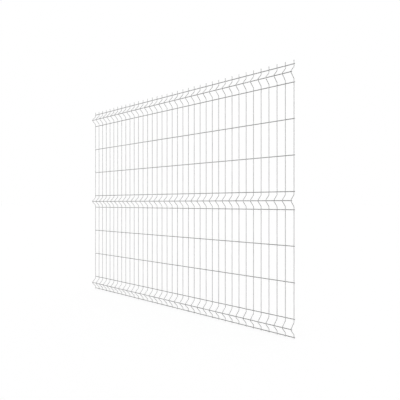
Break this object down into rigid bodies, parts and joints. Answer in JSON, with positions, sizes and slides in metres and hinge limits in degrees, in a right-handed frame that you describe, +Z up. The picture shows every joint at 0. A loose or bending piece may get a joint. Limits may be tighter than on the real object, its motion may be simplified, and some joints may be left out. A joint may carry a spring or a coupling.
{
  "type": "welded mesh fence panel",
  "caption": "Rigid fence panel of upright wires welded to thicker level wires, with V-shaped folds along its length and short spikes on top.",
  "frame": {"origin": "on the back flat of the bottom line wire, half way along the panel, in the plane of the line wires' backs that bears on the posts", "axes": "+X along the panel to its right end as seen from the front, +Y out of the back towards the posts (the folds' ridges point to -Y), +Z up"},
  "size_m": [1.986, 0.0382, 1.525],
  "materials": {
    "galvanised_wire": "dull zinc coat, light neutral grey"
  },
  "bodies": {
    "root": {"top_fold": "galvanised_wire", "upper_field": "galvanised_wire", "middle_fold": "galvanised_wire", "lower_field": "galvanised_wire", "bottom_fold": "galvanised_wire"}
  },
  "joints": []
}
